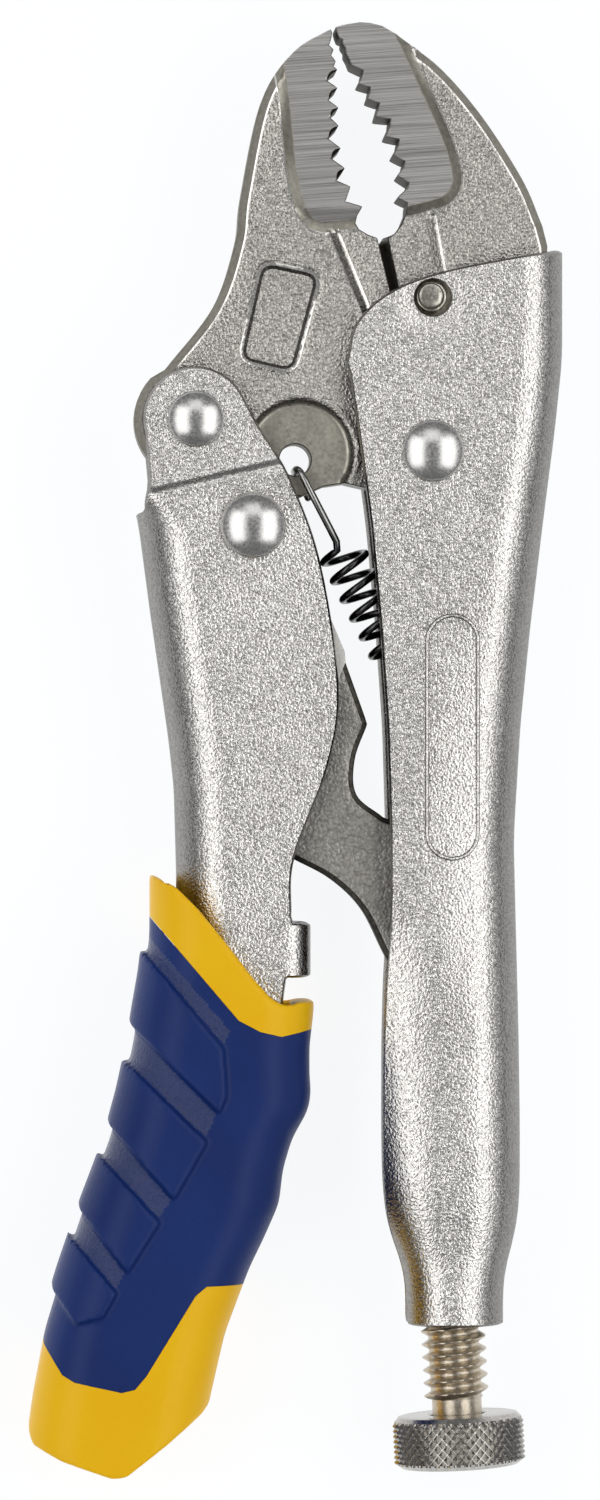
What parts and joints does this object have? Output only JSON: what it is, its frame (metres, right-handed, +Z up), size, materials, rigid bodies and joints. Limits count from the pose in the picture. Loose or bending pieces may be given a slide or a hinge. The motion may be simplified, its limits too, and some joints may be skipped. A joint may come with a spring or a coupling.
{
  "type": "locking pliers",
  "caption": "Small curved-jaw locking pliers with toggle linkage, knurled adjusting screw and a two-part plastic grip that releases the lock when pulled.",
  "frame": {"origin": "middle of the tool's outline seen from above, on the surface that it lies on", "axes": "+X from the lever handle towards the fixed handle's web, +Y towards the jaw tips, +Z up through the tool's thickness, along every pivot"},
  "size_m": [0.0525, 0.1423, 0.0184],
  "materials": {
    "satin_nickel": "satin nickel plate over a blasted surface",
    "forged_nickel": "satin nickel plate over a forged surface, ground on the tooth blocks",
    "bright_rivet": "bright nickel plate",
    "dark_steel": "matte grey nickel plate",
    "spring_wire": "oiled dark spring wire",
    "screw_steel": "warm nickel plate over cut and knurled steel",
    "blue_plastic": "soft moulded grip plastic with a fine grain",
    "yellow_plastic": "smooth moulded plastic"
  },
  "bodies": {
    "fixed_side": {"fixed_handle": "satin_nickel", "fixed_jaw": "forged_nickel", "fixed_jaw_rivet": "forged_nickel", "jaw_pivot_rivet": "bright_rivet", "jaw_spring": "spring_wire"},
    "swinging_jaw": {"movable_jaw": "forged_nickel", "lever_rivet": "bright_rivet"},
    "lever": {"lever_handle": "satin_nickel", "toggle_rivet": "bright_rivet", "release_pin": "forged_nickel"},
    "link": {"toggle_link": "dark_steel"},
    "grip": {"release_lever": "dark_steel", "grip_core": "yellow_plastic", "grip_cover": "blue_plastic"},
    "screw_travel": {"screw_tip": "screw_steel"},
    "screw": {"adjusting_screw": "screw_steel", "screw_knob": "screw_steel"}
  },
  "joints": [
    {"name": "jaw_opening", "type": "hinge", "parent": "fixed_side", "child": "swinging_jaw", "pos_m": [0.0133, 0.0293, 0.0092], "axis": [0, 0, 1], "range_deg": [0, 11.7], "deforming": ["jaw_spring"]},
    {"name": "lever_opening", "type": "hinge", "parent": "swinging_jaw", "child": "lever", "pos_m": [-0.0099, 0.0324, 0.0092], "axis": [0, 0, -1], "range_deg": [0, 65]},
    {"name": "link_swing", "type": "hinge", "parent": "lever", "child": "link", "pos_m": [-0.0043, 0.022, 0.0092], "axis": [0, 0, 1], "range_deg": [0, 67.92]},
    {"name": "grip_release", "type": "hinge", "parent": "lever", "child": "grip", "pos_m": [-0.0072, -0.0267, 0.0092], "axis": [0, 0, -1], "range_deg": [0, 2.5]},
    {"name": "screw_slide", "type": "slide", "parent": "fixed_side", "child": "screw_travel", "axis": [0.0523, -0.9986, 0], "range_m": [0, 0.012]},
    {"name": "screw_turn", "type": "hinge", "parent": "screw_travel", "child": "screw", "pos_m": [0.0154, -0.0539, 0.0092], "axis": [0.0523, -0.9986, 0], "range_deg": [0, 3400]}
  ],
  "couplings": [
    {"joint": "jaw_opening", "follows": "lever_opening", "ratio": 0.18},
    {"joint": "link_swing", "follows": "lever_opening", "ratio": 1.045},
    {"joint": "screw_slide", "follows": "screw_turn", "m_per_rad": 0.00020213}
  ]
}
